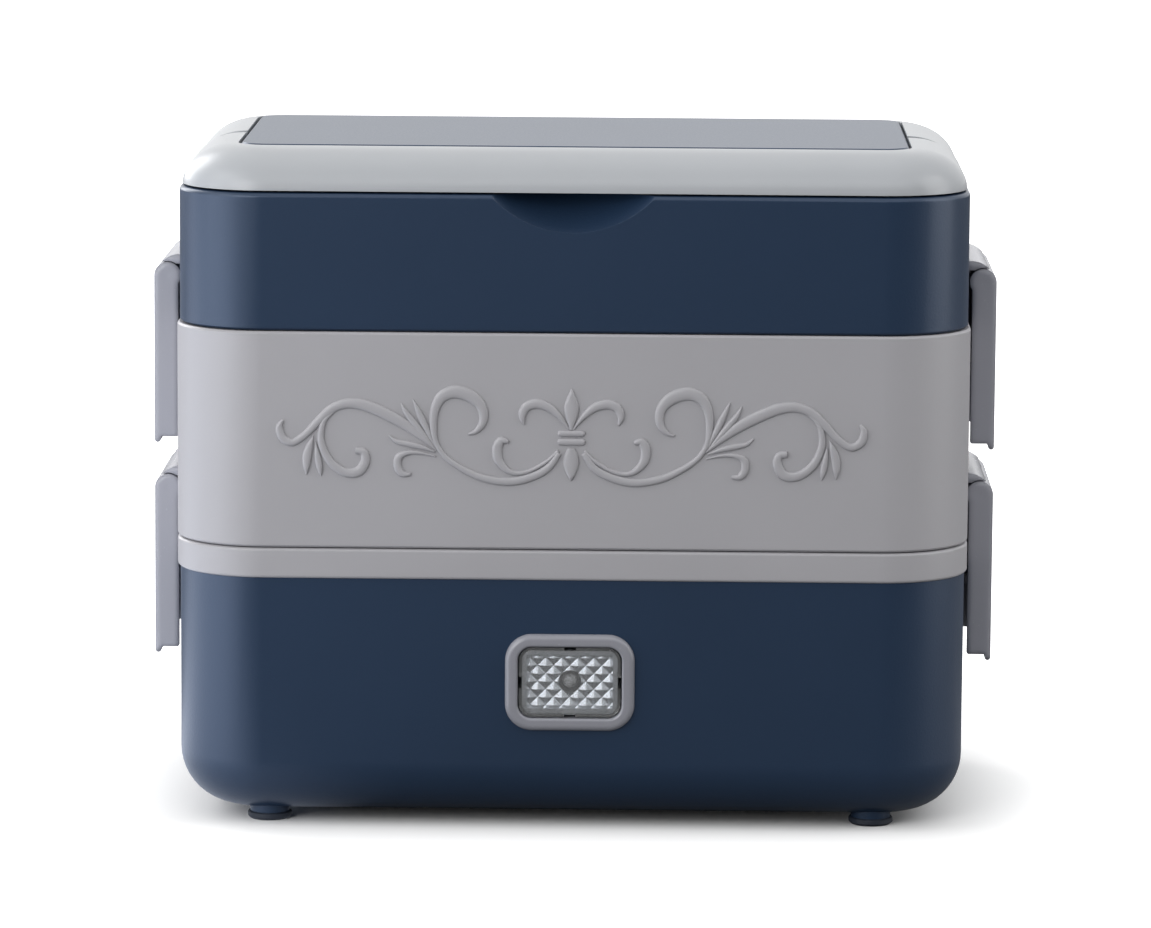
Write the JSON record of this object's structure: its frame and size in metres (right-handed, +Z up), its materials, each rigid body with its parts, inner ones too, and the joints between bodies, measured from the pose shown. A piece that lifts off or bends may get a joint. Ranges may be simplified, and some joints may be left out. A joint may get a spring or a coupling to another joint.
{
  "type": "electric lunch box",
  "caption": "Stacked lunch box with a heated base, a food tier and a deep lid, held by side latches, with a fold-down carrying handle and a lit push button.",
  "frame": {"origin": "on the ground under the middle of the box", "axes": "+X to the right seen from the front, +Y to the back, +Z up; the button faces -Y"},
  "size_m": [0.2528, 0.138, 0.2022],
  "materials": {
    "navy_case": "fine moulded texture",
    "grey_case": "satin moulded",
    "grey_handle": "satin moulded",
    "grey_latch": "smooth moulded",
    "steel": "brushed",
    "aluminium": "as extruded",
    "ceramic": "glazed",
    "black_insulator": "moulded",
    "brass": "plated",
    "wire_sleeve": "satin",
    "circuit_board": "solder resist",
    "clear_lamp": "clear polished",
    "mirror_coat": "vacuum metallised",
    "clear_lid": "clear moulded",
    "silicone": "soft moulded"
  },
  "bodies": {
    "housing": {"base_shell": "navy_case", "bottom_cover": "navy_case", "bottom_screws": "steel", "feet": "navy_case", "collar_ring": "grey_case", "heating_pan": "steel", "heater_block": "aluminium", "heater_strap": "steel", "thermostat": "steel", "thermal_fuse": "ceramic", "inlet_socket": "black_insulator", "inlet_pins": "brass", "wiring": "wire_sleeve", "button_bezel": "grey_latch", "button_board": "circuit_board", "led_lamp": "clear_lamp", "switch_body": "black_insulator", "lower_container": "steel", "lower_container_lid": "clear_lid", "tier_seal": "silicone", "tier_shell": "grey_case", "upper_container": "steel", "upper_container_lid": "clear_lid", "lid_seal": "silicone", "lid_shell": "navy_case", "lid_panel": "navy_case", "lid_rear_frame": "grey_handle", "handle_pins": "steel", "lower_latch_brackets": "grey_latch", "lower_latch_pins": "steel", "upper_latch_brackets": "grey_latch", "upper_latch_pins": "steel"},
    "carry_handle": {"carry_handle": "grey_handle"},
    "upper_left_latch": {"upper_left_latch": "grey_latch"},
    "upper_right_latch": {"upper_right_latch": "grey_latch"},
    "lower_left_latch": {"lower_left_latch": "grey_latch"},
    "lower_right_latch": {"lower_right_latch": "grey_latch"},
    "power_button": {"lens_cover": "clear_lamp", "lens_reflector": "mirror_coat", "switch_plunger": "grey_latch"}
  },
  "joints": [
    {"name": "carry_handle_hinge", "type": "hinge", "parent": "housing", "child": "carry_handle", "pos_m": [0, -0.01, 0.19605], "axis": [-1, 0, 0], "range_deg": [0, 90]},
    {"name": "upper_left_latch_hinge", "type": "hinge", "parent": "housing", "child": "upper_left_latch", "pos_m": [-0.1224, 0, 0.1601], "axis": [0, 1, 0], "range_deg": [0, 80]},
    {"name": "upper_right_latch_hinge", "type": "hinge", "parent": "housing", "child": "upper_right_latch", "pos_m": [0.1224, 0, 0.1601], "axis": [0, -1, 0], "range_deg": [0, 80]},
    {"name": "lower_left_latch_hinge", "type": "hinge", "parent": "housing", "child": "lower_left_latch", "pos_m": [-0.1224, 0, 0.0958], "axis": [0, 1, 0], "range_deg": [0, 80]},
    {"name": "lower_right_latch_hinge", "type": "hinge", "parent": "housing", "child": "lower_right_latch", "pos_m": [0.1224, 0, 0.0958], "axis": [0, -1, 0], "range_deg": [0, 80]},
    {"name": "power_button_slide", "type": "slide", "parent": "housing", "child": "power_button", "axis": [0, 1, 0], "range_m": [0, 0.0012], "stiffness_N_per_m": 500}
  ]
}
